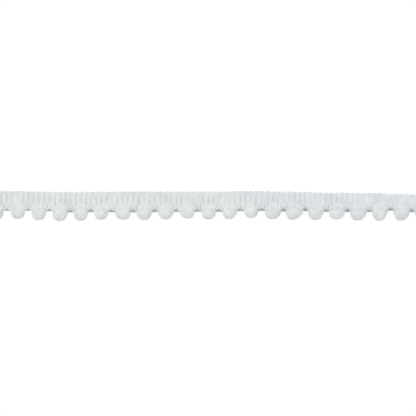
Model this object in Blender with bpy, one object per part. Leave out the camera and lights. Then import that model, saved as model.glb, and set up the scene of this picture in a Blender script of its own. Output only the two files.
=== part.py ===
"""Pompom fringe trim: a looped braid heading with cut-pile pompoms on one edge.

The trim lies flat on its back, as a cut length. X runs along it, +Y points to
the looped edge of the heading and -Y to the pompoms, and Z points up, out of
the front. The origin is on the heading's back, at mid length and mid width,
on the face that is sewn or glued down. Everything is in metres.
"""

import math
from collections import namedtuple

import bmesh
import bpy

MM = 0.001

# The repeat along the length.
PITCH = 7.5 * MM                 # from one pompom's middle to the next
LOOPS_PER_PITCH = 4              # yarn loops of the heading for each pompom
LOOP_PITCH = PITCH / LOOPS_PER_PITCH

# The heading, a band of yarn loops.
HEADING_THICKNESS = 1.3 * MM
SCALLOP_DEPTH = 0.3 * MM         # the notches between the loops' crowns
LOOPED_EDGE_ROUNDING = 0.45 * MM
LOOPED_EDGE_THINNING = 0.15 * MM
POMPOM_EDGE_ROUNDING = 1.2 * MM  # the front falls away to this edge
POMPOM_EDGE_THICKNESS = 0.5 * MM

# The pompoms, balls of cut pile that rest on a small flat spot.
POMPOM_WAIST = -3.7 * MM         # Y of the widest place, by the heading's edge
POMPOM_TOP = -0.7 * MM           # Y where the pile ends on the heading's front
HEIGHT_TO_WIDTH = 0.9
SQUARENESS = 2.3                 # exponent of the outline, 2 for an ellipse
NOSE_TAPER = 0.3                 # how much lower the end on the heading is
FLAT_SPOT = 0.5                  # the flat spot's share of the width
CROWN_SPOT = 0.08                # the top's share, where the last ring closes
LAST_RING = math.radians(78)     # how far up the ball the ring below it is
CLEARANCE = 0.3 * MM             # gap between a pompom and the heading

# Fineness of the faceted solids.
STATIONS_PER_LOOP = 3
ROUNDING_STEPS = 3
POMPOM_SEGMENTS = 14
POMPOM_RINGS = 7

# How the heading lies, in mm: Y of its two edges at places along the length.
Lie = namedtuple("Lie", "x pompom_edge looped_edge")
HEADING_LIE = (
    Lie(-80.0, -3.15, 4.05),
    Lie(-63.4, -3.10, 3.80),
    Lie(-55.9, -3.25, 3.55),
    Lie(-48.5, -3.70, 3.55),
    Lie(-41.1, -3.60, 3.60),
    Lie(-26.3, -3.70, 3.75),
    Lie(-11.2, -3.50, 3.65),
    Lie(3.9, -3.50, 3.70),
    Lie(11.4, -3.30, 3.85),
    Lie(18.9, -3.20, 3.85),
    Lie(26.5, -3.40, 3.65),
    Lie(33.9, -3.20, 3.55),
    Lie(41.2, -3.50, 3.25),
    Lie(56.6, -3.55, 3.15),
    Lie(64.1, -3.10, 2.85),
    Lie(71.6, -3.60, 2.60),
    Lie(80.0, -3.60, 2.45),
)

# Each pompom from the left, in mm: shift of its middle from its pitch mark,
# width, Y of its bottom, and how far the bottom leans along X.
Pompom = namedtuple("Pompom", "shift width bottom lean")
POMPOMS = (
    Pompom(0.20, 5.0, -6.2, 0.00),
    Pompom(0.35, 4.8, -5.9, 0.00),
    Pompom(0.30, 5.0, -6.4, -0.20),
    Pompom(0.30, 5.1, -6.8, -0.25),
    Pompom(0.00, 5.0, -6.6, -0.15),
    Pompom(-0.30, 4.8, -6.3, -0.10),
    Pompom(-0.30, 5.3, -6.3, 0.10),
    Pompom(-0.20, 5.3, -6.4, -0.10),
    Pompom(-0.05, 5.1, -6.2, -0.25),
    Pompom(-0.20, 5.0, -5.9, 0.20),
    Pompom(-0.15, 5.1, -6.2, 0.00),
    Pompom(-0.10, 4.9, -6.1, -0.35),
    Pompom(-0.25, 4.6, -5.7, 0.10),
    Pompom(0.10, 5.6, -6.1, -0.35),
    Pompom(0.20, 5.6, -6.3, -0.70),
    Pompom(0.00, 5.3, -6.4, -0.10),
    Pompom(0.10, 5.6, -6.2, -0.40),
    Pompom(0.00, 5.7, -6.6, -0.35),
    Pompom(0.10, 5.2, -6.7, -0.30),
    Pompom(0.20, 5.6, -6.7, -0.30),
    Pompom(0.10, 5.3, -6.5, -0.20),
)

LOOP_COUNT = len(POMPOMS) * LOOPS_PER_PITCH + 1
LENGTH = LOOP_COUNT * LOOP_PITCH


def clear_scene():
    for obj in list(bpy.data.objects):
        bpy.data.objects.remove(obj, do_unlink=True)


def yarn_material(name, color, roughness):
    material = bpy.data.materials.new(name)
    material.use_nodes = True
    shader = material.node_tree.nodes["Principled BSDF"]
    shader.inputs["Base Color"].default_value = (*color, 1.0)
    shader.inputs["Roughness"].default_value = roughness
    shader.inputs["Metallic"].default_value = 0.0
    return material


def mesh_object(name, verts, faces, material):
    mesh = bpy.data.meshes.new(name)
    mesh.from_pydata(verts, [], faces)
    bm = bmesh.new()
    bm.from_mesh(mesh)
    bmesh.ops.recalc_face_normals(bm, faces=bm.faces)
    bm.to_mesh(mesh)
    bm.free()
    obj = bpy.data.objects.new(name, mesh)
    bpy.context.scene.collection.objects.link(obj)
    obj.data.materials.append(material)
    return obj


def loft(name, rings, material):
    """Join closed rings of equal length into one body with a cap at each end."""
    verts = [point for ring in rings for point in ring]
    count = len(rings[0])
    faces = [tuple(range(count)), tuple(range(len(verts) - count, len(verts)))]
    for row in range(len(rings) - 1):
        for k in range(count):
            a = row * count + k
            b = row * count + (k + 1) % count
            faces.append((a, b, b + count, a + count))
    return mesh_object(name, verts, faces, material)


def edges_at(x):
    """Y of the heading's two edges at x, eased from row to row of its lie."""
    at = min(max(x / MM, HEADING_LIE[0].x), HEADING_LIE[-1].x)
    for near, far in zip(HEADING_LIE, HEADING_LIE[1:]):
        if at <= far.x:
            break
    t = (at - near.x) / (far.x - near.x)
    ease = t * t * (3 - 2 * t)
    pompom_edge = near.pompom_edge + ease * (far.pompom_edge - near.pompom_edge)
    looped_edge = near.looped_edge + ease * (far.looped_edge - near.looped_edge)
    return pompom_edge * MM, looped_edge * MM


def rounded_front(low, outset):
    """Front of the heading from its pompom edge up to where it is flat, as (y, z)
    points on a quarter of an ellipse, moved out by a clearance.
    """
    points = []
    rounding = POMPOM_EDGE_ROUNDING + outset
    drop = HEADING_THICKNESS - POMPOM_EDGE_THICKNESS
    for k in range(ROUNDING_STEPS + 1):
        angle = math.pi / 2 * k / ROUNDING_STEPS
        y = low + POMPOM_EDGE_ROUNDING - rounding * math.cos(angle)
        z = HEADING_THICKNESS + outset - drop * (1 - math.sin(angle))
        points.append((y, z))
    return points


def heading_section(x, notch):
    """Ring around the heading at x, from its pompom edge over the front."""
    low, high = edges_at(x)
    crown_front = HEADING_THICKNESS - LOOPED_EDGE_THINNING
    ring = rounded_front(low, 0.0)
    ring += [
        (high - LOOPED_EDGE_ROUNDING, crown_front),
        (high - notch, HEADING_THICKNESS / 2),
        (high - LOOPED_EDGE_ROUNDING, 0.0),
        (low, 0.0),
    ]
    return [(x, y, z) for y, z in ring]


def heading(material):
    """The band of loops, notched between the crowns along its looped edge."""
    rings = []
    for station in range(LOOP_COUNT * STATIONS_PER_LOOP + 1):
        x = -LENGTH / 2 + station * LOOP_PITCH / STATIONS_PER_LOOP
        between_loops = station % STATIONS_PER_LOOP == 0
        rings.append(heading_section(x, SCALLOP_DEPTH if between_loops else 0.0))
    return loft("heading", rings, material)


def heading_clearance(material):
    """The space of the heading, and all behind it, that pompoms stay out of."""
    rings = []
    for station in range(-1, LOOP_COUNT + 2):
        x = -LENGTH / 2 + station * LOOP_PITCH
        low, high = edges_at(x)
        ring = rounded_front(low, CLEARANCE)
        ring += [
            (high, HEADING_THICKNESS + CLEARANCE),
            (high, -HEADING_THICKNESS),
            (low - CLEARANCE, -HEADING_THICKNESS),
        ]
        rings.append([(x, y, z) for y, z in ring])
    cutter = loft("heading_clearance", rings, material)
    cutter.hide_render = True
    cutter.display_type = "WIRE"
    return cutter


def superellipse(angle):
    """Point of a slightly squared unit circle at an angle."""
    power = 2 / SQUARENESS
    c = math.cos(angle)
    s = math.sin(angle)
    return (math.copysign(abs(c) ** power, c), math.copysign(abs(s) ** power, s))


def pompom_ring(row, middle, radius, z):
    """Level ring of a pompom: a drop, fuller to its bottom than to its top."""
    half_width = row.width * MM / 2
    reach = POMPOM_WAIST - row.bottom * MM
    rise = POMPOM_TOP - POMPOM_WAIST
    ring = []
    for k in range(POMPOM_SEGMENTS):
        across, along = superellipse(2 * math.pi * k / POMPOM_SEGMENTS)
        x = middle + radius * across * half_width
        y = POMPOM_WAIST + radius * along * (rise if along > 0 else reach)
        x += row.lean * MM * radius * max(0.0, -along)
        taper = 1 - NOSE_TAPER * radius * max(0.0, along)
        ring.append((x, y, z * taper))
    return ring


def pompom(number, row, cutter, material):
    """One ball of pile, cut back where the heading's edge runs into it."""
    middle = (number - (len(POMPOMS) + 1) / 2) * PITCH + row.shift * MM
    height = row.width * MM * HEIGHT_TO_WIDTH
    lowest = math.asin(FLAT_SPOT) - math.pi / 2
    sunk = math.sin(lowest)
    rings = []
    for k in range(POMPOM_RINGS):
        angle = lowest + (LAST_RING - lowest) * k / (POMPOM_RINGS - 1)
        z = height * (math.sin(angle) - sunk) / (1 - sunk)
        rings.append(pompom_ring(row, middle, math.cos(angle), z))
    rings.append(pompom_ring(row, middle, CROWN_SPOT, height))
    ball = loft(f"pompom_{number:02d}", rings, material)
    cut = ball.modifiers.new("heading", "BOOLEAN")
    cut.operation = "DIFFERENCE"
    cut.solver = "EXACT"
    cut.object = cutter
    ball.data.shade_smooth()
    return ball


def build():
    clear_scene()
    braid_yarn = yarn_material("bulked_yarn", (0.76, 0.79, 0.80), 0.85)
    pile_yarn = yarn_material("cut_pile", (0.78, 0.81, 0.82), 0.95)
    heading(braid_yarn)
    cutter = heading_clearance(braid_yarn)
    for number, row in enumerate(POMPOMS, start=1):
        pompom(number, row, cutter, pile_yarn)


build()
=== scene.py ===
"""Looks of a pompom fringe trim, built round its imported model.

The heading is a band of one bulked yarn in hairpin loops, laid on a thin knitted
ground that is edged with twisted cords. Balls of cut pile are tied close along that
edge. X runs along the trim, +Y to the loops' crowns and +Z out of the front, and
everything is in metres.
"""

import math
from collections import namedtuple

import bpy
import numpy as np
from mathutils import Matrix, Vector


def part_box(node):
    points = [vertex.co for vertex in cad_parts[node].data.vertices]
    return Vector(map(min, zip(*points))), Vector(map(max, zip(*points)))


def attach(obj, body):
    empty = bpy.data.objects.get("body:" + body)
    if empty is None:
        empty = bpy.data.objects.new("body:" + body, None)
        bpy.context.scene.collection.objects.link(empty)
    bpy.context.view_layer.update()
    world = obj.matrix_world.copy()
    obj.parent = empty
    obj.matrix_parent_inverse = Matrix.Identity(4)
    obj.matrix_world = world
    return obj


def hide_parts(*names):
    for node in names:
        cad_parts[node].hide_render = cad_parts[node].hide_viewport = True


MM = 0.001
TAU = 2 * math.pi
BODY = "root"

# Camera and light.
VIEW_WIDTH = 146.25 * MM                 # of the front of the heading that shows
VIEW_CENTRE = (-0.33 * MM, -2.13 * MM, 1.5 * MM)
LENS = 150.0                             # mm, long, so the row is seen straight on
SENSOR = 36.0
ROOM_LIGHT = 0.96
SoftBox = namedtuple("SoftBox", "name place size power color")
SOFT_BOXES = (
    SoftBox("key_box", (-0.32, 0.12, 0.60), 0.35, 1.0, (1.0, 1.0, 1.0)),
    SoftBox("cool_box", (0.17, 0.0, 0.13), 0.06, 0.024, (0.1, 0.3, 1.0)),
)
FLOOR_SIZE = 6.0
BOARD_WHITE = 0.92                       # how far the view shows the board as white
BOARD_GLOW = 1.04                        # and how bright that white is

# The repeat.
POMPOM_PITCH = 7.5 * MM
LOOPS_PER_POMPOM = 4
LOOP_PITCH = POMPOM_PITCH / LOOPS_PER_POMPOM

# Heading, as heights over the surface it lies on.
YARN_RADIUS = 0.42 * MM
YARN_HALF_WIDTH = 0.62 * MM              # pressed flat between its neighbours
TURN_HALF_WIDTH = 0.46 * MM              # and rounder where it turns
YARN_MIDDLE = 0.86 * MM
GROUND_FRONT = 0.95 * MM
GROUND_BACK = 0.28 * MM
TAPE_FRONT = 0.32 * MM                   # the ground past the loops' lower turns
TAPE_BACK = 0.03 * MM
HEADING_FRONT = 1.3 * MM

# Hairpin loops. A leg's offset is from the middle of its loop.
CROWN_OFFSET = 0.465 * MM                # legs side by side under the crown
FOOT_OFFSET = LOOP_PITCH / 4             # legs evenly spread above the pompoms
SLOT_FOOT = 3.1 * MM                     # from the lower edge to the open slot
SLOT_EASE = 1.4 * MM
CROWN_RISE = 0.07 * MM                   # the crowns' fluff past the CAD band
TURN_INSET = 0.72 * MM                   # the turns' ends from the lower edge, mid row
TURN_DIP = 0.12 * MM                     # how far the turns dip to the ground
TURN_DIP_START = 0.4 * MM                # how far above a leg's foot that begins
TURN_DIP_EASE = 1.1 * MM
CROWN_DIP = 0.12 * MM                    # and how far the crowns do
CROWN_DIP_START = 0.3 * MM
CROWN_DIP_EASE = 0.9 * MM
STRAIGHT_EASE = 0.8 * MM                 # from a turn to the full width of a leg
CROWN_SPREAD = 0.14 * MM                 # added to the offset under a flat crown
TURN_SPREAD = 0.22 * MM                  # and to the yarn's half width in a flat turn
TURN_DROP = 0.23 * MM                    # how much lower a turn hangs by a pompom
DROP_NEAR = 2.2 * MM                     # from a pompom's middle
DROP_FAR = 3.6 * MM
DROP_SHIFT = 0.32 * MM                   # further on the pompoms' left
FLANK_LIFT = 0.70 * MM                   # how far a pompom's side lifts a leg
FLANK = 2.5 * MM
FLANK_REACH = 1.2 * MM
FLANK_TOP = 2.9 * MM
PULL = 0.16                              # how far pompoms draw legs towards them
PULL_REACH = 3.1 * MM
PULL_TOP = 4.2 * MM
PLIES = 3
YARN_SIDES = 4 * PLIES
LEG_STEPS = 24
TURN_STEPS = 7
PLY_RELIEF = 0.03
PLY_TWIST = 4.2 * MM                     # length of one turn of the plies
UNEVEN_YARN = 0.02                       # of its thickness
UNEVEN_STEPS = 8                         # from one thicker or thinner place to the next

# The slots inside the loops from left to right, in mm: half their legs' spacing, how
# far below the crown they open, and how far the turns beside them stay from the edge.
# The last two are the exponents of the crown's and the turn's sine, 1 for round and
# less for flat.
Slot = namedtuple("Slot", "x offset start turn crown foot")
SLOTS = (
    Slot(-80, 0.68, 1.2, 0.34, 1.0, 0.4),
    Slot(-55, 0.67, 1.5, 0.44, 1.0, 0.5),
    Slot(-40, 0.66, 1.7, 0.68, 1.0, 0.9),
    Slot(30, 0.64, 1.7, 0.72, 0.85, 1.0),
    Slot(48, 0.57, 1.7, 0.72, 0.5, 1.0),
    Slot(58, 0.48, 1.7, 0.72, 0.3, 1.0),
    Slot(80, 0.43, 1.7, 0.72, 0.2, 1.0),
)
SLOT_OPEN = 0.60 * MM
SPREAD = 0.8                             # of a closed slot's room, taken up by its legs

# How uneven the loops and the stitches over them are, as standard deviations.
UNEVEN_CROWN = 0.07 * MM
UNEVEN_SLOT = 0.055 * MM
UNEVEN_START = 0.3 * MM
UNEVEN_FOOT = 0.06 * MM
UNEVEN_SLOT_FOOT = 0.35 * MM
UNEVEN_HEIGHT = 0.03 * MM
UNEVEN_STITCH = 0.06 * MM

# The row of chain stitches over the crowns.
CROWN_STITCH_INSET = 0.80 * MM           # its middle, from the crowns' tops
CROWN_STITCH_WIDTH = 0.33 * MM           # from its middle to an arm
EYE_LEAST = 0.35                         # share of that over the flattest crowns
CROWN_STITCH_SHIFT = 0.28 * MM           # and how much nearer the edge it is there
CROWN_STITCH_RADIUS = 0.30 * MM
CROWN_STITCH_MIDDLE = 0.98 * MM
CROWN_STITCH_ARCH = 0.12 * MM            # how far it rises
CROWN_STITCH_OVERLAP = 1.3               # a stitch's length in loops
STITCH_TAPER = 0.6                       # share of its thickness at a stitch's ends

# Fibres along the yarn.
YARN_FIBRES = 5000
FIBRE_STEP = 3                           # of the yarn's steps
FIBRE_RADIUS = 0.028 * MM
FIBRE_LIFT = (1.02, 0.97, 0.97, 1.02)    # shares of the yarn's thickness along it
FIBRE_TAPER = (0.5, 1.0, 1.0, 0.5)

# The tape under the loops, its edge cords and the chains on the back.
GROUND_INSET = 0.9 * MM                  # from the crowns' tops
GROUND_STATIONS = 341
GROUND_COLUMNS = 17
TAPE_WIDTH = 0.75 * MM
TAPE_START = 0.3 * MM                    # where it begins to rise to the ground
# how far the painted shade on the tape takes to ease to the ground's own colour
TAPE_SHADE_EASE = 0.6 * MM
CORD_INSETS = (0.14, 0.40, 0.66)         # mm from the lower edge
CORD_MIDDLE = 0.17 * MM
CORD_CLIMB = 0.45                        # how steeply the cords' row rises
CORD_STRAND = 0.085 * MM
CORD_TWIST = 0.9 * CORD_STRAND           # from a cord's middle to a strand's
CORD_TURN = 1.2 * MM
CORD_STEPS = 6                           # to a turn
CHAIN_PLACES = (0.16, 0.36, 0.56, 0.76)  # shares of the heading's width
CHAIN_THREAD = 0.15 * MM
CHAIN_WIDTH = 0.62 * MM
CHAIN_HEIGHT = 0.17 * MM
CHAIN_SINK = 0.10 * MM
CHAIN_OVERLAP = 1.25                     # a stitch's length in loops

# Cut pile.
SQUARENESS = (2.7, 2.25, 2.05)           # exponents of the outlines, left to right
TOP_SQUARENESS = 2.0                     # and of their halves over the heading
TOP_EXTRA = 0.35 * MM                    # thin pile past the CAD ball's top
MID_HEIGHT = 0.464                       # widest level, as a share of the height
WAIST = -3.0 * MM                        # Y of the widest place
WAIST_BAND = 0.8 * MM                    # how near it the CAD ball is measured
BOTTOM_BAND = 0.2 * MM
BOTTOM_LEVEL = 0.8                       # how far down that is, as a share
PILE_OVER = 0.13 * MM                    # soft pile past the CAD ball's sides
PILE_BELOW = 0.10 * MM                   # and past its bottom
NECK = 0.20                              # how much narrower it leaves the ribs
NECK_START = 0.3                         # as a share of the rise
NECK_EASE = 0.6
RIB_GROOVE = 0.20 * MM                   # depth of the ribs' slots carried onto it
RIB_GROOVE_START = 0.3                   # as a share of the way to its top
RIB_GROOVE_EASE = 0.5
BELL = 0.3                               # its section's added exponent, 1 at its top
SINK_START = 0.4                         # below the waist, as a share of the ball
TUFTS = 48
TUFT_GROOVE = 0.015                      # depth of the grooves between them, as a share
TUFT_EDGE = 0.08                         # half width of one, as a step in cosine
TUFT_SCATTER = 0.15                      # how far they are from evenly spread
PILE_SOURCE = (0.0, 1.0, 0.1)            # direction that the strands come from
BRUSH_SCATTER = 0.1                      # how unevenly tufts and strands are brushed
STRANDS = 1700
STRAND_SCATTER = 0.05
STRAND_HALF_WIDTH = 0.062 * MM
STRAND_HEIGHT = 0.034 * MM
STRAND_ARC = math.radians(46)            # how far round the ball a strand lies
STRAND_TAPER = (0.7, 1.0, 0.4)           # shares of its size at root, middle and tip
STRAND_DEPTHS = (0.96, 1.01)             # shares of the ball at its root and middle
STRAND_STRAY = 0.02 * MM                 # how unevenly its tip stands out
STRAND_REST = 1.3 * STRAND_HALF_WIDTH    # lowest its middle line lies
TOP_CLEAR = 0.96                         # no strands start nearer the top than this
TOP_PAINTED_SHADE = 0.3                           # how much darker its top is drawn, down to the yarn's colour: painted shade against the light on its upward slope
CORE_SHARE = 0.945
CORE_BOTTOM = 0.14 * MM                  # so that strands cover the flat spot too
HIDDEN = 0.6                             # share of the heading's height that hides them
CORE_COLUMNS = 36
CORE_ROWS = 25
CORE_END = 0.97                          # latitude of its end rows, as a pole's share
CORE_SUNK = 0.1 * MM                     # how far it dips into the heading's front
OVER_MARGIN = 0.1 * MM                   # past the lower edge, but still over it
ROOT_FIBRES = 330                        # that run from the ribs onto a pompom
ROOT_REACH = 1.4 * MM                    # above its top
ROOT_ASIDE = 0.26 * MM
OFF_SLOT = 0.6                           # cosine of how near a slot they start
ROOT_HALF_WIDTH = 0.042 * MM
ROOT_TAPER = (0.4, 1.0, 1.0, 0.4)        # shares of its size along it
ROOT_SUNK = 0.10 * MM                    # its start, below the heading's front
ROOT_PROUD = 0.02 * MM                   # the rest, out of the pile
ROOT_STRAY = 0.03 * MM
UNEVEN_SIZE = (0.8, 1.25)                # of strands and of these fibres
FUZZ_FIBRES = 150
FUZZ_LENGTH = 0.32 * MM
FUZZ_RADIUS = 0.015 * MM
FUZZ_DEPTH = 0.25 * MM                   # how deep in the pile it starts
FUZZ_BEND = 0.05 * MM
FUZZ_TAPER = (1.0, 0.8, 0.35)
REST_GAP = 0.03 * MM

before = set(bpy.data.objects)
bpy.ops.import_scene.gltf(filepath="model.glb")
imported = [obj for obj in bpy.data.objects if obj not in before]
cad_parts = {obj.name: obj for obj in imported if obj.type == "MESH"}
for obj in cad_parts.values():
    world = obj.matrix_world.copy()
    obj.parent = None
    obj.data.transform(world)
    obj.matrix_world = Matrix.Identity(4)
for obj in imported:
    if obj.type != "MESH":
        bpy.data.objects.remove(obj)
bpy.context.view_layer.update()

Shape = namedtuple("Shape", "points corners sizes uv tone smooth")
Drop = namedtuple("Drop", "middle half_width waist rise reach height lean square")
Loops = namedtuple("Loops", "middle low crown foot slot_top slot_foot slot level "
                   "round_crown round_turn")


# ---------------------------------------------------------------- meshes

def unit(vectors):
    """Vectors scaled to a length of one."""
    length = np.linalg.norm(vectors, axis=-1, keepdims=True)
    return vectors / np.maximum(length, 1e-12)


def ease(t):
    """0 below 0, 1 above 1, and 3t^2 - 2t^3 between them."""
    t = np.clip(t, 0.0, 1.0)
    return t * t * (3 - 2 * t)


def round_turns(sides):
    """Angles round a tube, from its top."""
    return TAU * (np.arange(sides) / sides + 0.25)


def tubes(paths, wide, sides, tall=None, facing=(0.0, 0.0, 1.0), tone=None):
    """Closed tubes along many paths of equal length, as one shape.

    Tubes of three sides keep their flat faces, the rest are smooth.

    The ring at each step is path + wide * cos(turn) * side + tall * sin(turn) * top,
    where side is across the path and the facing direction, and top is across
    both. A UV is in millimetres, round the tube and along it.
    """
    count, steps = paths.shape[:2]
    along = unit(np.gradient(paths, axis=1))
    side = unit(np.cross(np.broadcast_to(facing, along.shape), along))
    top = np.cross(along, side)
    wide = wide.reshape(wide.shape + (1,) * (4 - wide.ndim))
    tall = wide if tall is None else tall.reshape(tall.shape + (1,) * (4 - tall.ndim))
    turn = round_turns(sides)[:, None]
    points = (paths[:, :, None] + wide * np.cos(turn) * side[:, :, None]
              + tall * np.sin(turn) * top[:, :, None])

    first = (np.arange(count * steps) * sides).reshape(count, steps, 1)
    here = np.arange(sides)
    after = (here + 1) % sides
    walls = np.stack([first[:, :-1] + here, first[:, :-1] + after,
                      first[:, 1:] + after, first[:, 1:] + here], axis=-1)
    start = first[:, 0] + here[::-1]
    end = first[:, -1] + here
    corners = np.concatenate([walls.ravel(), start.ravel(), end.ravel()])
    sizes = np.concatenate([np.full(walls.size // 4, 4), np.full(2 * count, sides)])

    gaps = np.linalg.norm(np.diff(paths, axis=1), axis=-1)
    length = np.concatenate([np.zeros((count, 1)), np.cumsum(gaps, axis=1)], axis=1)
    step = TAU * wide.mean() / sides
    u = np.broadcast_to(np.stack([here, here + 1, here + 1, here], -1) * step,
                        walls.shape)
    v = np.stack([length[:, :-1], length[:, :-1], length[:, 1:], length[:, 1:]], -1)
    v = np.broadcast_to(v[:, :, None], walls.shape)
    uv = np.concatenate([np.stack([u, v], -1).reshape(-1, 2) / MM,
                         np.zeros((2 * count * sides, 2))])
    if tone is None:
        tone = np.full(count, 0.5)
    return Shape(points.reshape(-1, 3), corners, sizes, uv,
                 np.repeat(tone, steps * sides), sides > 3)


def grid(points, closed_u=False):
    """Surface through a grid of points, rows along v, closed round u if asked."""
    rows, columns = points.shape[:2]
    across = np.arange(columns if closed_u else columns - 1)
    after = (across + 1) % columns
    first = (np.arange(rows - 1) * columns)[:, None]
    quads = np.stack([first + across, first + after,
                      first + columns + after, first + columns + across], axis=-1)
    count = quads.size // 4
    return Shape(points.reshape(-1, 3), quads.ravel(), np.full(count, 4),
                 np.zeros((count * 4, 2)), np.full(rows * columns, 0.5), True)


def capped(shape, columns):
    """A grid closed round u, with a face over its first and last rows."""
    last = len(shape.points) - columns
    low = np.arange(columns)[::-1]
    high = last + np.arange(columns)
    return shape._replace(
        corners=np.concatenate([shape.corners, low, high]),
        sizes=np.concatenate([shape.sizes, [columns, columns]]),
        uv=np.concatenate([shape.uv, np.zeros((2 * columns, 2))]))


def piece(name, shapes, material):
    """Mesh object of several shapes in one material, riding on the body."""
    offset = np.cumsum([0] + [len(s.points) for s in shapes[:-1]])
    corners = np.concatenate([s.corners + o for s, o in zip(shapes, offset)])
    sizes = np.concatenate([s.sizes for s in shapes])
    mesh = bpy.data.meshes.new(name)
    mesh.vertices.add(sum(len(s.points) for s in shapes))
    points = np.concatenate([s.points for s in shapes]).astype(np.float32)
    mesh.vertices.foreach_set("co", points.ravel())
    mesh.loops.add(len(corners))
    mesh.loops.foreach_set("vertex_index", corners.astype(np.int32))
    mesh.polygons.add(len(sizes))
    starts = np.concatenate([[0], np.cumsum(sizes)[:-1]])
    mesh.polygons.foreach_set("loop_start", starts.astype(np.int32))
    smooth = np.repeat([s.smooth for s in shapes], [len(s.sizes) for s in shapes])
    mesh.polygons.foreach_set("use_smooth", smooth)
    mesh.update(calc_edges=True)
    layer = mesh.uv_layers.new(name="yarn")
    uv = np.concatenate([s.uv for s in shapes]).astype(np.float32)
    layer.data.foreach_set("uv", uv.ravel())
    tone = mesh.attributes.new("tone", "FLOAT", "POINT")
    values = np.concatenate([s.tone for s in shapes]).astype(np.float32)
    tone.data.foreach_set("value", values)
    mesh.materials.append(material)
    obj = bpy.data.objects.new(name, mesh)
    bpy.context.scene.collection.objects.link(obj)
    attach(obj, BODY)
    return obj


# ------------------------------------------------------------- materials

def linear(code):
    """sRGB hex code as linear red, green, blue and alpha."""
    values = [int(code[k:k + 2], 16) / 255 for k in (1, 3, 5)]
    lin = [v / 12.92 if v <= 0.04045 else ((v + 0.055) / 1.055) ** 2.4 for v in values]
    return (*lin, 1.0)


def add_node(tree, kind, settings=None, values=None, links=None):
    """One node, with its settings, its sockets' values and the links into it."""
    node = tree.nodes.new(kind)
    for name, value in (settings or {}).items():
        setattr(node, name, value)
    for name, value in (values or {}).items():
        node.inputs[name].default_value = value
    for name, source in (links or {}).items():
        tree.links.new(source, node.inputs[name])
    return node


def new_material(name, roughness, sheen):
    """A matt material, its node tree and its shader."""
    material = bpy.data.materials.new(name)
    material.use_nodes = True
    shader = material.node_tree.nodes["Principled BSDF"]
    shader.inputs["Roughness"].default_value = roughness
    shader.inputs["IOR"].default_value = 1.5
    shader.inputs["Specular IOR Level"].default_value = 0.2
    shader.inputs["Sheen Weight"].default_value = sheen
    shader.inputs["Sheen Roughness"].default_value = 0.5
    return material, material.node_tree, shader


def bulked_yarn():
    """Bulked acrylic yarn: matt, off white, with fine crimped fibres along it."""
    material, tree, shader = new_material("bulked_acrylic_yarn", 0.85, 0.1)
    uv = add_node(tree, "ShaderNodeUVMap", {"uv_map": "yarn"})
    # A fibre is 0.02 mm thick. It is drawn 0.07 mm wide and 0.8 mm long, to show.
    stretch = add_node(tree, "ShaderNodeMapping", {}, {"Scale": (1 / 0.07, 1 / 0.8, 1.0)},
                       {"Vector": uv.outputs["UV"]})
    fibres = add_node(tree, "ShaderNodeTexNoise", {}, {"Scale": 1.0, "Detail": 2.0},
                      {"Vector": stretch.outputs["Vector"]})
    place = add_node(tree, "ShaderNodeTexCoord")
    # Dye takes a little unevenly over some 3 mm of yarn.
    patches = add_node(tree, "ShaderNodeTexNoise", {}, {"Scale": 1 / (3 * MM)},
                       {"Vector": place.outputs["Object"]})
    colour = add_node(tree, "ShaderNodeValToRGB", {}, {}, {"Fac": patches.outputs["Fac"]})
    colour.color_ramp.elements[0].position = 0.3
    colour.color_ramp.elements[0].color = linear("#d5d8d7")
    colour.color_ramp.elements[1].position = 0.7
    colour.color_ramp.elements[1].color = linear("#dee1e0")
    bump = add_node(tree, "ShaderNodeBump", {}, {"Strength": 0.8, "Distance": 0.08 * MM},
                    {"Height": fibres.outputs["Fac"]})
    tree.links.new(colour.outputs["Color"], shader.inputs["Base Color"])
    tree.links.new(bump.outputs["Normal"], shader.inputs["Normal"])
    return material


def cut_pile():
    """Cut acrylic pile: matt tufts, each a slightly different white."""
    material, tree, shader = new_material("cut_acrylic_pile", 0.9, 0.35)
    tone = add_node(tree, "ShaderNodeAttribute", {"attribute_name": "tone"})
    colour = add_node(tree, "ShaderNodeValToRGB", {}, {}, {"Fac": tone.outputs["Fac"]})
    colour.color_ramp.elements[0].color = linear("#e0e3e2")
    colour.color_ramp.elements[1].color = linear("#eef0ef")
    place = add_node(tree, "ShaderNodeTexCoord")
    # The cut ends of single fibres, drawn 0.08 mm apart.
    ends = add_node(tree, "ShaderNodeTexNoise", {}, {"Scale": 1 / (0.08 * MM)},
                    {"Vector": place.outputs["Object"]})
    bump = add_node(tree, "ShaderNodeBump", {}, {"Strength": 0.4, "Distance": 0.03 * MM},
                    {"Height": ends.outputs["Fac"]})
    tree.links.new(colour.outputs["Color"], shader.inputs["Base Color"])
    tree.links.new(bump.outputs["Normal"], shader.inputs["Normal"])
    return material


def knitted_ground():
    """Fine warp-knitted polyester ground: flat, dull, in columns of stitches."""
    material, tree, shader = new_material("warp_knitted_polyester", 0.9, 0.0)
    # The tape is drawn darker along the lower edge, where it lies low between the pompoms:
    # painted shade.
    tone = add_node(tree, "ShaderNodeAttribute", {"attribute_name": "tone"})
    colour = add_node(tree, "ShaderNodeValToRGB", {}, {}, {"Fac": tone.outputs["Fac"]})
    colour.color_ramp.elements[0].color = linear("#cbcfd0")
    colour.color_ramp.elements[1].color = linear("#dadedf")
    tree.links.new(colour.outputs["Color"], shader.inputs["Base Color"])
    place = add_node(tree, "ShaderNodeTexCoord")
    # A stitch column every 0.47 mm along X, four to a loop. The texture's own bands
    # repeat at tau / 20.
    columns = add_node(tree, "ShaderNodeTexWave", {"bands_direction": "X"},
                       {"Scale": TAU / (20 * LOOP_PITCH / 4), "Distortion": 0.6},
                       {"Vector": place.outputs["Object"]})
    bump = add_node(tree, "ShaderNodeBump", {}, {"Strength": 0.7, "Distance": 0.06 * MM},
                    {"Height": columns.outputs["Fac"]})
    tree.links.new(bump.outputs["Normal"], shader.inputs["Normal"])
    return material


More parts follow.
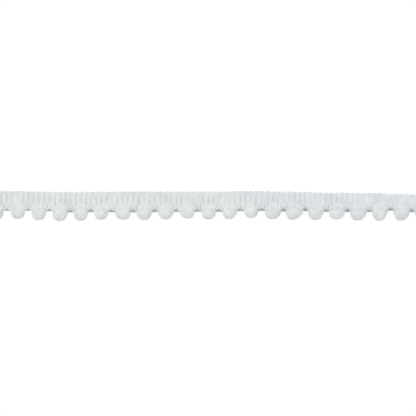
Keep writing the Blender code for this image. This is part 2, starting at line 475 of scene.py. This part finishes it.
def white_board():
    """Matt white board: its shadows are mostly washed out to white in the view."""
    material, tree, shader = new_material("matt_white_board", 0.9, 0.0)
    shader.inputs["Base Color"].default_value = linear("#d4d4d4")
    white = add_node(tree, "ShaderNodeEmission", {}, {"Strength": BOARD_GLOW})
    seen = add_node(tree, "ShaderNodeLightPath")
    share = add_node(tree, "ShaderNodeMath", {"operation": "MULTIPLY"})
    share.inputs[1].default_value = BOARD_WHITE
    tree.links.new(seen.outputs["Is Camera Ray"], share.inputs[0])
    mix = add_node(tree, "ShaderNodeMixShader", {}, {}, {"Fac": share.outputs["Value"]})
    tree.links.new(shader.outputs["BSDF"], mix.inputs[1])
    tree.links.new(white.outputs["Emission"], mix.inputs[2])
    output = tree.nodes["Material Output"]
    tree.links.new(mix.outputs["Shader"], output.inputs["Surface"])
    return material


# ------------------------------------------------- what the frame gives

def node_points(name):
    """Points of a CAD node, as an array."""
    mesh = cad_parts[name].data
    points = np.empty(len(mesh.vertices) * 3, np.float32)
    mesh.vertices.foreach_get("co", points)
    return points.reshape(-1, 3).astype(float)


def cut_across(name, x):
    """Lowest and highest Y of a CAD node where planes across X cut its edges."""
    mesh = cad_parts[name].data
    pairs = np.empty(len(mesh.edges) * 2, np.int32)
    mesh.edges.foreach_get("vertices", pairs)
    start, end = node_points(name)[pairs.reshape(-1, 2)].transpose(1, 0, 2)
    run = end[:, 0] - start[:, 0]
    share = (x[:, None] - start[:, 0]) / np.where(np.abs(run) > 1e-9, run, np.nan)
    y = start[:, 1] + share * (end[:, 1] - start[:, 1])
    cut = (share >= 0) & (share <= 1)
    return np.where(cut, y, np.inf).min(1), np.where(cut, y, -np.inf).max(1)


def heading_edges():
    """X of stations along the heading, and Y of its lower edge and crowns there.

    The crowns' line is the highest Y of a station and the two beside it, which
    carries it over the notches between loops.
    """
    low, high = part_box("heading")
    loops_long = round((high.x - low.x) / LOOP_PITCH)
    inside = 1e-6                        # so that the end planes cut the mesh too
    stations = np.linspace(low.x + inside, high.x - inside, 3 * loops_long + 1)
    lower, upper = cut_across("heading", stations)
    wide = np.pad(upper, 1, mode="edge")
    return stations, lower, np.maximum(np.maximum(wide[:-2], wide[2:]), upper)


STATIONS, LOW_EDGE, CROWNS = heading_edges()


def low_edge(x):
    """Y of the heading's lower edge at x."""
    return np.interp(x, STATIONS, LOW_EDGE)


def width_at(x):
    """Width of the heading at x, from its lower edge to its crowns."""
    return np.interp(x, STATIONS, CROWNS) - low_edge(x)


def pompom_names():
    """The pompoms' CAD nodes, from the left."""
    return sorted(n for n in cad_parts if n.startswith("pompom"))


def drop_of(name):
    """Shape of a pompom's outline, read off its CAD node."""
    low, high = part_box(name)
    points = node_points(name)
    bottom = points[points[:, 1] < low.y + BOTTOM_BAND]
    waist = points[np.abs(points[:, 1] - WAIST) < WAIST_BAND]
    middle = (waist[:, 0].min() + waist[:, 0].max()) / 2
    return Drop(middle, (high.x - low.x) / 2 + PILE_OVER, WAIST,
                high.y + TOP_EXTRA - WAIST, WAIST - low.y + PILE_BELOW, high.z,
                (bottom[:, 0].mean() - middle) / BOTTOM_LEVEL,
                np.interp(middle, (STATIONS[0], 0, STATIONS[-1]), SQUARENESS))


DROPS = [drop_of(name) for name in pompom_names()]
MIDDLES = np.array([drop.middle for drop in DROPS])
MARKS = (np.arange(len(DROPS)) - (len(DROPS) - 1) / 2) * POMPOM_PITCH


# --------------------------------------------------------------- heading

def slots_at(x):
    """Columns of SLOTS at x: a loop's offset, start, turn, crown and foot."""
    places = [slot.x * MM for slot in SLOTS]
    return [np.interp(x, places, column) for column in np.array(SLOTS).T[1:]]


def loop_places():
    """Middle of each loop along the heading, evenly spaced."""
    count = len(DROPS) * LOOPS_PER_POMPOM + 1
    return (np.arange(count) - (count - 1) / 2) * LOOP_PITCH


def drop_beside(x):
    """How much lower the yarn hangs at x, by its nearness to a pompom.

    It eases from none at the far distance to the whole drop at the near one,
    measured from just left of the pompom's middle.
    """
    beside = np.abs(x[..., None] - MIDDLES + DROP_SHIFT).min(-1)
    return TURN_DROP * ease((DROP_FAR - beside) / (DROP_FAR - DROP_NEAR))


def uneven_loops(rng):
    """Measures of every loop from the left, each a little uneven, as columns.

    Crown and foot are where its legs end, and slot_top and slot_foot where its slot
    does, from the lower edge. Slot is half the spacing of its legs there, and level
    the height of its yarn's middle.
    """
    middle = loop_places()
    middle += np.interp(middle, MARKS, MIDDLES - MARKS)
    count = middle.size
    slot, start, turn, round_crown, round_turn = slots_at(middle)
    width = width_at(middle) + CROWN_RISE + round_crown * rng.normal(0, UNEVEN_CROWN, count)
    slot = slot * MM + round_crown * rng.normal(0, UNEVEN_SLOT, count)
    start = start * MM + rng.normal(0, UNEVEN_START, count)
    foot = turn * MM + TURN_HALF_WIDTH + FOOT_OFFSET + rng.normal(0, UNEVEN_FOOT, count)
    slot_foot = SLOT_FOOT + rng.normal(0, UNEVEN_SLOT_FOOT, count)
    level = YARN_MIDDLE + rng.normal(0, UNEVEN_HEIGHT, count)
    loops = Loops(middle, low_edge(middle), width - TURN_HALF_WIDTH - CROWN_OFFSET,
                  foot - drop_beside(middle), width - start, slot_foot, slot, level,
                  round_crown, round_turn)
    return Loops(*(column[:, None] for column in loops))


def loop_plan(loops):
    """Plan of the yarn's middle line, a row to a loop: x, and how far from the edge.

    Each loop goes up its left leg, round the crown, down its right leg and round a
    turn into the next loop. A crown or turn is half a circle, whose sine is raised to
    a power below 1 where it is pressed flat. A leg's offset from the middle of its loop
    eases from the crown's to the slot's and on to the foot's.
    """
    leg = loops.foot + (loops.crown - loops.foot) * np.linspace(0, 1, LEG_STEPS)
    below_crown = ease((loops.slot_top - leg) / SLOT_EASE + 0.5)
    above_foot = ease((leg - loops.slot_foot) / SLOT_EASE + 0.5)
    crown_offset = CROWN_OFFSET + CROWN_SPREAD * (1 - loops.round_crown)
    offset = crown_offset + (loops.slot - crown_offset) * below_crown
    offset = FOOT_OFFSET + (offset - FOOT_OFFSET) * above_foot
    left = loops.middle - offset
    right = (loops.middle + offset)[:, ::-1]

    arc = np.linspace(0, math.pi, TURN_STEPS + 2)[1:-1]
    crown_x = loops.middle - crown_offset * np.cos(arc)
    crown = loops.crown + CROWN_OFFSET * np.sin(arc) ** loops.round_crown
    after_last = right[-1, -1] + LOOP_PITCH - 2 * FOOT_OFFSET
    half = (np.append(left[1:, 0], after_last)[:, None] - right[:, -1:]) / 2
    turn_x = right[:, -1:] + half * (1 - np.cos(arc))
    turn = loops.foot - half * np.sin(arc) ** loops.round_turn
    next_foot = np.append(loops.foot[1:], loops.foot[-1:], axis=0)
    turn += (next_foot - loops.foot) * arc / math.pi
    turn -= np.sin(arc) * drop_beside(turn_x)
    x = np.concatenate([left, crown_x, right, turn_x], axis=1)
    return x, np.concatenate([leg, crown, leg[:, ::-1], turn], axis=1)


def yarn_height(loops, inset, away):
    """Height of the yarn, which dips to the ground by its turns and crowns.

    A leg that is a flank's distance from a pompom's middle is lifted by its side.
    The lift eases to nothing a reach further or nearer, and towards the crowns.
    """
    over_foot = inset - loops.foot
    under_crown = loops.crown - inset
    dip = TURN_DIP * ease((TURN_DIP_START - over_foot) / TURN_DIP_EASE)
    dip = dip + CROWN_DIP * ease((CROWN_DIP_START - under_crown) / CROWN_DIP_EASE)
    lift = FLANK_LIFT * ease(1 - np.abs(np.abs(away) - FLANK) / FLANK_REACH)
    lift = lift * ease((FLANK_TOP - inset) / (0.6 * FLANK_TOP))
    return loops.level - dip + lift


def yarn_half_width(loops, inset, pull):
    """Half width of the yarn, which eases from its turns' to the widest on a leg.

    A leg spreads into the room that a closed slot leaves, and a flat turn is wider.
    A leg that is drawn towards a pompom narrows by half the share of that.
    """
    to_turn = np.minimum(loops.crown - inset, inset - loops.foot)
    straight = ease(to_turn / STRAIGHT_EASE + 0.4)
    widest = YARN_HALF_WIDTH + SPREAD * np.maximum(0, SLOT_OPEN - loops.slot)
    flat_turn = TURN_HALF_WIDTH + TURN_SPREAD * (1 - loops.round_turn)
    turned = np.where(inset < loops.crown / 2, flat_turn, TURN_HALF_WIDTH)
    half_width = turned + (widest - turned) * straight
    return half_width * (1 - 0.5 * pull)


def hairpin_path(rng):
    """Middle line of the yarn that makes every loop of the heading, and its half width.

    A pompom draws the legs by it towards its middle, by a share of the distance that
    falls as 1 - d^2 and eases out towards the crowns. Each point is then averaged
    with its two neighbours, which count half as much.
    """
    loops = uneven_loops(rng)
    x, inset = loop_plan(loops)
    away = x - MIDDLES[np.abs(x[..., None] - MIDDLES).argmin(-1)]
    pull = PULL * np.maximum(0, 1 - (away / PULL_REACH) ** 2)
    pull = pull * ease((PULL_TOP - inset) / (PULL_TOP - TURN_INSET))
    z = yarn_height(loops, inset, away)
    path = np.stack([x - pull * away, loops.low + inset, z], axis=-1).reshape(-1, 3)
    kernel = np.array([0.25, 0.5, 0.25])
    for axis in range(3):
        path[1:-1, axis] = np.convolve(path[:, axis], kernel, "valid")
    used = len(path) - TURN_STEPS
    return path[:used], yarn_half_width(loops, inset, pull).ravel()[:used]


def plied(path, rng):
    """Share of the radius round and along a yarn, whose plies are turning lobes.

    1 + relief * cos(plies * (turn - twist * length)), times a slow unevenness.
    """
    gaps = np.linalg.norm(np.diff(path, axis=0), axis=1)
    length = np.concatenate([[0], np.cumsum(gaps)])[:, None]
    turn = round_turns(YARN_SIDES)[None]
    lobes = 1 + PLY_RELIEF * np.cos(PLIES * (turn - TAU * length / PLY_TWIST))
    places = rng.normal(0, UNEVEN_YARN, len(path) // UNEVEN_STEPS + 2)
    uneven = 1 + np.interp(np.arange(len(path)) / UNEVEN_STEPS,
                           np.arange(len(places)), places)
    return (lobes * uneven[:, None])[None, :, :, None]


def hairpin_loops(material):
    """The plied yarn along its path, with that path and its half width."""
    rng = np.random.default_rng(11)
    path, half_width = hairpin_path(rng)
    share = plied(path, rng)
    shape = tubes(path[None], share * half_width[:, None, None], YARN_SIDES,
                  share * YARN_RADIUS)
    loops = piece("hairpin_loops", [shape], material)
    return loops, path, half_width


def chain_eyes(middle, half_long, wide, steps):
    """Plan of a row of chain stitches, each an eye of two arms.

    With t from -1 to 1 an arm is at x + long t along the row, and wide (1 - t^2)
    (1 + t / 2) aside from it. Returns both, and 1 - t^2, which is 0 at the ends.
    """
    t = np.linspace(-1, 1, steps)
    bulge = 1 - t * t
    x = np.clip(middle[:, None] + half_long[:, None] * t, STATIONS[0], STATIONS[-1])
    return x, wide[:, None] * bulge * (1 + t / 2), bulge


def crown_stitches(material):
    """Chain stitches over the crowns, one to a loop.

    An arm rises as 1 - t^2, so that its ends are tucked under its neighbours. The
    eyes close, and lie nearer the edge, as the crowns flatten.
    """
    rng = np.random.default_rng(17)
    middle = loop_places()
    middle = middle + rng.normal(0, UNEVEN_STITCH, middle.size)
    half_long = CROWN_STITCH_OVERLAP * LOOP_PITCH / 2 * rng.uniform(0.92, 1.08, middle.size)
    round_crown = slots_at(middle)[3]
    eye = CROWN_STITCH_WIDTH * (EYE_LEAST + (1 - EYE_LEAST) * round_crown)
    eye = eye * rng.uniform(0.85, 1.15, middle.size)
    x, aside, bulge = chain_eyes(middle, half_long, eye, 9)
    inset = CROWN_STITCH_INSET - CROWN_STITCH_SHIFT * (1 - round_crown)[:, None]
    row = low_edge(x) + width_at(x) + CROWN_RISE - inset
    z = np.broadcast_to(CROWN_STITCH_MIDDLE + CROWN_STITCH_ARCH * bulge, x.shape)
    paths = [np.stack([x, row + side * aside, z], axis=-1) for side in (-1, 1)]
    paths = np.concatenate(paths)
    thick = STITCH_TAPER + (1 - STITCH_TAPER) * bulge
    radii = np.broadcast_to(CROWN_STITCH_RADIUS * thick, paths.shape[:2])
    return piece("crown_stitches", [tubes(paths, radii, 10)], material)


def ground(material):
    """Knitted band under the loops, and past them a tape along the lower edge.

    Its front eases from the tape's height to the ground's across the loops' lower
    turns, and its back from just off the board to the chains. Each section is a ring,
    along the front to the lower edge and back along the back.
    """
    x = np.linspace(STATIONS[0], STATIONS[-1], GROUND_STATIONS)[:, None]
    share = np.linspace(0, 1, GROUND_COLUMNS)[None]
    inset = CORD_STRAND + share * (width_at(x) - GROUND_INSET - CORD_STRAND)
    rise = ease((inset - TAPE_START) / TAPE_WIDTH)
    front = TAPE_FRONT + (GROUND_FRONT - TAPE_FRONT) * rise
    back = TAPE_BACK + (GROUND_BACK - TAPE_BACK) * rise
    # Painted shade: the tape is darker along the lower edge, easing to the ground's own
    # colour over the loops.
    tone = ease((inset - TAPE_WIDTH) / TAPE_SHADE_EASE)
    z = np.concatenate([front[:, ::-1], back], axis=1)
    y = low_edge(x) + np.concatenate([inset[:, ::-1], inset], axis=1)
    tone = np.concatenate([tone[:, ::-1], tone], axis=1)
    points = np.stack(np.broadcast_arrays(x, y, z), axis=-1)
    shape = capped(grid(points, closed_u=True), points.shape[1])
    shape = shape._replace(tone=tone.ravel())
    return piece("knitted_ground", [shape], material)


def edge_cords(material):
    """Pairs of threads turned round each other along the lower edge.

    A thread is at (inset + r cos(turn), middle + r sin(turn)), and its partner half
    a turn on. The middle climbs with the inset, up the tape.
    """
    x = np.arange(STATIONS[0], STATIONS[-1], CORD_TURN / CORD_STEPS)
    paths = []
    for row, inset in enumerate(CORD_INSETS):
        for start in (0, math.pi):
            turn = start + row + TAU * x / CORD_TURN
            y = low_edge(x) + inset * MM + CORD_TWIST * np.cos(turn)
            z = CORD_MIDDLE + CORD_CLIMB * inset * MM + CORD_TWIST * np.sin(turn)
            paths.append(np.stack([x, y, z], axis=-1))
    paths = np.stack(paths)
    # The cords are drawn in the ground's darkest colour: painted shade along the low edge
    # between the pompoms.
    shape = tubes(paths, np.full(paths.shape[:2], CORD_STRAND), 5,
                  tone=np.zeros(len(paths)))
    return piece("edge_cords", [shape], material)


def back_chains(material):
    """Rows of chain stitches on the back, one stitch to a loop.

    An arm sinks into the ground as t^2 to either end, under its neighbours.
    """
    rng = np.random.default_rng(19)
    paths = []
    for place in CHAIN_PLACES:
        middle = loop_places() + rng.uniform(-0.3, 0.3) * LOOP_PITCH
        half_long = np.full(middle.size, CHAIN_OVERLAP * LOOP_PITCH / 2)
        wide = CHAIN_WIDTH / 2 * rng.uniform(0.85, 1.15, middle.size)
        x, aside, bulge = chain_eyes(middle, half_long, wide, 7)
        row = low_edge(x) + place * width_at(x)
        z = np.broadcast_to(CHAIN_HEIGHT + CHAIN_SINK * (1 - bulge), x.shape)
        paths += [np.stack([x, row + side * aside, z], axis=-1) for side in (-1, 1)]
    paths = np.concatenate(paths)
    thick = STITCH_TAPER + (1 - STITCH_TAPER) * bulge
    radii = np.broadcast_to(CHAIN_THREAD * thick, paths.shape[:2])
    return piece("back_chains", [tubes(paths, radii, 6)], material)


def fibres(roots, tips, bend, radius, tone):
    """Single fibres: from root to tip through a point bent aside, thinning out."""
    middle = (roots + tips) / 2 + bend
    paths = np.stack([roots, middle, tips], axis=1)
    radii = np.broadcast_to(radius * np.array(FUZZ_TAPER), paths.shape[:2])
    return tubes(paths, radii, 3, facing=(0.3, 0.5, 0.8), tone=tone)


def yarn_fibres(material, path, half_width):
    """Long fibres that lie along the yarn and show how it is spun.

    Each follows the yarn for a few steps at an angle round it, fewer in the turns,
    and lifts off a little at its ends.
    """
    rng = np.random.default_rng(23)
    start = rng.integers(0, len(path) - 3 * FIBRE_STEP, YARN_FIBRES)[:, None]
    on_leg = start % (LEG_STEPS + TURN_STEPS) < LEG_STEPS - 3 * FIBRE_STEP
    pick = start + np.where(on_leg, FIBRE_STEP, 1) * np.arange(4)
    turn = rng.uniform(0.02, 0.98, YARN_FIBRES)[:, None] * math.pi
    turn = turn + rng.normal(0, 0.1, (YARN_FIBRES, 1)) * np.arange(4)
    along = unit(np.gradient(path, axis=0))[pick]
    side = unit(np.cross((0.0, 0.0, 1.0), along))
    lift = np.array(FIBRE_LIFT) + rng.uniform(0, 0.04, (YARN_FIBRES, 4))
    wide = (lift * half_width[pick] * np.cos(turn))[..., None]
    tall = (lift * YARN_RADIUS * np.sin(turn))[..., None]
    paths = path[pick] + wide * side + tall * np.array([0.0, 0.0, 1.0])
    radii = np.broadcast_to(FIBRE_RADIUS * np.array(FIBRE_TAPER), pick.shape)
    shape = tubes(paths, 1.4 * radii, 3, 0.5 * radii, tone=rng.uniform(0, 1, YARN_FIBRES))
    return piece("yarn_fibres", [shape], material)


# --------------------------------------------------------------- pompoms

def even_directions(count):
    """Directions spread evenly over a ball, along a spiral by the golden angle."""
    k = np.arange(count) + 0.5
    z = 1 - 2 * k / count
    turn = k * math.pi * (3 - math.sqrt(5))
    flat = np.sqrt(1 - z * z)
    return np.stack([flat * np.cos(turn), flat * np.sin(turn), z], axis=-1)


def drop_surface(directions, drop, share=1.0):
    """Points and normals of a pompom's outside in directions from its middle.

    A direction is scaled until |x|^p + |y|^p + |z|^p = 1 and stretched to the
    pompom's half width, its rise or reach along Y and its height. Towards the heading
    it narrows to a neck and sinks to the heading's front as (1 - y^2)^2, its middle
    level as the square of that, and its round section becomes a bell that melts into
    the ribs, grooved by (0.5 + 0.5 cos(x))^3 where it meets the slots between them.
    A share below 1 is inside, drawn in towards the middle.
    """
    up = np.maximum(0, directions[..., 1:2])
    p = drop.square + (TOP_SQUARENESS - drop.square) * ease(2 * up)
    norm = (np.abs(directions) ** p).sum(-1, keepdims=True) ** (1 / p)
    s = directions / norm
    sx, sy, sz = s[..., 0], s[..., 1], s[..., 2]
    long = np.where(sy > 0, drop.rise, drop.reach)
    over = np.clip((sy + SINK_START) / (1 + SINK_START), 0, 1)
    left = (1 - over ** 2) ** 2
    section = sz / np.sqrt(np.maximum(1 - np.maximum(0, sy) ** 2, 1e-4))
    middle = HEADING_FRONT + (drop.height * MID_HEIGHT - HEADING_FRONT) * left ** 2
    tall = drop.height * (1 - MID_HEIGHT) * left
    wide = drop.half_width * (1 - NECK * ease((sy - NECK_START) / NECK_EASE))
    x = drop.middle + share * (wide * sx + drop.lean * np.maximum(0, -sy))
    y = drop.waist + share * long * sy
    groove = (0.5 + 0.5 * np.cos(TAU * wide * sx / LOOP_PITCH)) ** 3
    groove = RIB_GROOVE * groove * ease((over - RIB_GROOVE_START) / RIB_GROOVE_EASE)
    bell = np.abs(section) ** (BELL + (1 - BELL) * ease(over))
    z = middle + share * tall * section * bell - groove
    steep = np.sign(s) * np.abs(s) ** (p - 1)
    steep[..., 1] += over * np.maximum(0, sz)
    scale = np.stack([np.full_like(long, drop.half_width), long,
                      np.full_like(long, drop.height * (1 - MID_HEIGHT))], axis=-1)
    return np.stack([x, y, np.maximum(z, REST_GAP)], axis=-1), unit(steep / scale)


def heading_front(points):
    """Height of the heading's front at points, and whether they are over it."""
    inset = points[..., 1] - low_edge(points[..., 0])
    top = TAPE_FRONT + (HEADING_FRONT - TAPE_FRONT) * ease(inset / TURN_INSET)
    return top, inset > -OVER_MARGIN


def pompom_core(drop):
    """Packed inside of a pompom: its outside drawn in, and kept off the heading."""
    turn = TAU * np.arange(CORE_COLUMNS)[None] / CORE_COLUMNS
    level = np.linspace(-CORE_END, CORE_END, CORE_ROWS)[:, None] * math.pi / 2
    directions = np.stack(np.broadcast_arrays(
        np.cos(level) * np.cos(turn), np.cos(level) * np.sin(turn), np.sin(level)), -1)
    points, _ = drop_surface(directions, drop, CORE_SHARE)
    top, over = heading_front(points)
    least = np.where(over, top - CORE_SUNK, CORE_BOTTOM)
    points[..., 2] = np.maximum(points[..., 2], least)
    return capped(grid(points, closed_u=True), CORE_COLUMNS)


def pompom_pile(drop, rng):
    """Strands of a pompom, brushed down over it from the heading.

    A strand's tip is in an even direction. Its middle and root lie a share of an arc
    back round the ball towards the yarn's source, ever deeper in the pile. Strands
    gather in tufts, each brushed its own way, with grooves where the two nearest
    tufts are equally near.
    """
    scatter = rng.normal(0, STRAND_SCATTER, (STRANDS, 3))
    directions = unit(even_directions(STRANDS) + scatter)
    tufts = unit(even_directions(TUFTS) + rng.normal(0, TUFT_SCATTER, (TUFTS, 3)))
    near = directions @ tufts.T
    tuft = near.argmax(1)
    second, first = np.sort(near)[:, -2:].T
    share = 1 - TUFT_GROOVE * (1 - ease((first - second) / TUFT_EDGE))
    tips, normals = drop_surface(directions, drop, share)
    top, over = heading_front(tips)
    keep = ~(over & (tips[:, 2] < top)) & (directions[:, 1] < TOP_CLEAR)
    directions, tips, normals = directions[keep], tips[keep], normals[keep]
    tuft, share = tuft[keep], share[keep]
    count = len(directions)
    brush = unit(np.array(PILE_SOURCE)) + rng.normal(0, BRUSH_SCATTER, (TUFTS, 3))[tuft]
    back = unit(brush - directions * (directions * brush).sum(1)[:, None]
                + rng.normal(0, BRUSH_SCATTER, (count, 3)))
    arc = STRAND_ARC * rng.uniform(0.7, 1.2, (count, 1))
    from_top = np.arccos(np.clip(directions[:, 1:2], -1, 1))
    arc = np.minimum(arc, 0.9 * from_top)
    behind = [drop_surface(unit(directions * np.cos(turn) + back * np.sin(turn)), drop,
                           depth * share)[0]
              for turn, depth in zip((arc, arc / 2), STRAND_DEPTHS)]
    tips = tips + rng.normal(0, STRAND_STRAY, (count, 1)) * normals
    paths = np.stack([*behind, tips], axis=1)
    top, over = heading_front(paths)
    least = np.where(over, HIDDEN * top, STRAND_REST)
    paths[..., 2] = np.maximum(paths[..., 2], least)
    size = rng.uniform(*UNEVEN_SIZE, (count, 1)) * np.array(STRAND_TAPER)
    tone = (rng.uniform(0, 1, TUFTS)[tuft] + rng.uniform(0, 1, count)) / 2
    # A ball is drawn darker towards its top, down to the yarn's colour: painted shade
    # against the light that the slope there catches.
    tone = tone - TOP_PAINTED_SHADE * ease(directions[:, 1] / 0.8)
    return tubes(paths, STRAND_HALF_WIDTH * size, 3, STRAND_HEIGHT * size,
                 facing=normals[:, None], tone=tone)


def pompom_roots(drop, rng):
    """Fibres that run down along the ribs onto a pompom and hide where it starts.

    A fibre keeps its share a of the pompom's half width. It starts a chance distance
    above the outline, where y = (1 - a^2)^0.5, in the front of a rib, and ends down
    the pompom's slope. Towards its start it moves aside by sin(x), off the slots.
    """
    across = rng.uniform(-0.95, 0.95, (ROOT_FIBRES, 1))
    outline = np.sqrt(1 - across ** 2)
    above = ROOT_REACH / drop.rise * rng.uniform(0, 1, (ROOT_FIBRES, 1)) ** 1.5
    below = rng.uniform(0.1, 0.5, (ROOT_FIBRES, 1))
    over = outline + above - (above + below) * np.linspace(0, 1, 4)
    inside = np.minimum(over, outline)
    rest = np.sqrt(outline ** 2 - inside ** 2)
    paths, _ = drop_surface(np.stack(np.broadcast_arrays(across, inside, rest), -1), drop)
    x = paths[..., 0] - drop.middle
    aside = ROOT_ASIDE * np.sin(TAU * x / LOOP_PITCH) * np.array([1.0, 0.9, 0.5, 0.1])
    paths[..., 0] += aside + rng.normal(0, ROOT_STRAY, (ROOT_FIBRES, 4))
    paths[..., 1] += drop.rise * (over - inside)
    paths[:, 0, 2] = HEADING_FRONT - ROOT_SUNK
    paths[:, 1:, 2] += ROOT_PROUD
    paths = paths[np.cos(TAU * x[:, 0] / LOOP_PITCH) < OFF_SLOT]
    count = len(paths)
    size = rng.uniform(*UNEVEN_SIZE, (count, 1)) * np.array(ROOT_TAPER)
    return tubes(paths, ROOT_HALF_WIDTH * size, 3, 0.6 * ROOT_HALF_WIDTH * size,
                 tone=rng.uniform(0, 0.5, count))


def pompom_fuzz(drop, rng):
    """Single fibres that stand a little out of the pile."""
    directions = unit(rng.normal(size=(FUZZ_FIBRES, 3)))
    base, normals = drop_surface(directions, drop)
    top, over = heading_front(base)
    keep = ~(over & (base[:, 2] < top))
    base, normals = base[keep], normals[keep]
    count = len(base)
    stray = rng.normal(0, 0.5, (count, 3))
    tips = base + FUZZ_LENGTH * rng.uniform(0.3, 1.0, (count, 1)) * unit(normals + stray)
    tips[:, 2] = np.maximum(tips[:, 2], REST_GAP)
    bend = FUZZ_BEND * unit(rng.normal(size=(count, 3)))
    return fibres(base - FUZZ_DEPTH * normals, tips, bend, FUZZ_RADIUS,
                  np.full(count, 0.8))


def pompoms(material):
    """A ball of pile in the place of each CAD pompom."""
    made = []
    for number, (name, drop) in enumerate(zip(pompom_names(), DROPS)):
        rng = np.random.default_rng(100 + number)
        shapes = [pompom_core(drop), pompom_pile(drop, rng), pompom_roots(drop, rng),
                  pompom_fuzz(drop, rng)]
        ball = piece(name.replace("pompom", "pile_ball"), shapes, material)
        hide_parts(name)
        made.append(ball)
    return made


# --------------------------------------------------- camera, light, floor

def aim_camera():
    """A long lens straight above the middle of the view, as wide as the view."""
    data = bpy.data.cameras.new("camera")
    data.lens = LENS
    data.sensor_width = SENSOR
    data.clip_start = 0.01
    data.clip_end = 20.0
    camera = bpy.data.objects.new("camera", data)
    x, y, z = VIEW_CENTRE
    camera.location = (x, y, z + VIEW_WIDTH * LENS / SENSOR)
    bpy.context.scene.collection.objects.link(camera)
    bpy.context.scene.camera = camera


def light_room():
    """A white room lights the trim evenly. One soft box gives it shading, and the
    other makes its right end slightly cool.
    """
    scene = bpy.context.scene
    scene.view_settings.view_transform = "Standard"
    world = bpy.data.worlds.new("white_room")
    world.use_nodes = True
    background = world.node_tree.nodes["Background"]
    background.inputs["Color"].default_value = (1.0, 1.0, 1.0, 1.0)
    background.inputs["Strength"].default_value = ROOM_LIGHT
    scene.world = world
    for soft in SOFT_BOXES:
        data = bpy.data.lights.new(soft.name, "AREA")
        data.size = soft.size
        data.energy = soft.power
        data.color = soft.color
        box = bpy.data.objects.new(soft.name, data)
        box.location = soft.place
        away = box.location.normalized()
        box.rotation_euler = away.to_track_quat("Z", "Y").to_euler()
        scene.collection.objects.link(box)


def lay_floor():
    """The wide white board that the trim lies on."""
    half = FLOOR_SIZE / 2
    mesh = bpy.data.meshes.new("board")
    mesh.from_pydata([(-half, -half, 0), (half, -half, 0), (half, half, 0),
                      (-half, half, 0)], [], [(0, 1, 2, 3)])
    mesh.materials.append(white_board())
    board = bpy.data.objects.new("board", mesh)
    bpy.context.scene.collection.objects.link(board)


aim_camera()
light_room()
lay_floor()

yarn = bulked_yarn()
pile = cut_pile()
loops, loop_path, loop_width = hairpin_loops(yarn)
knit = knitted_ground()
band = ground(knit)
cords = edge_cords(knit)
stitches = crown_stitches(yarn)
chains = back_chains(yarn)
hairs = yarn_fibres(yarn, loop_path, loop_width)
balls = pompoms(pile)

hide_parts("heading")
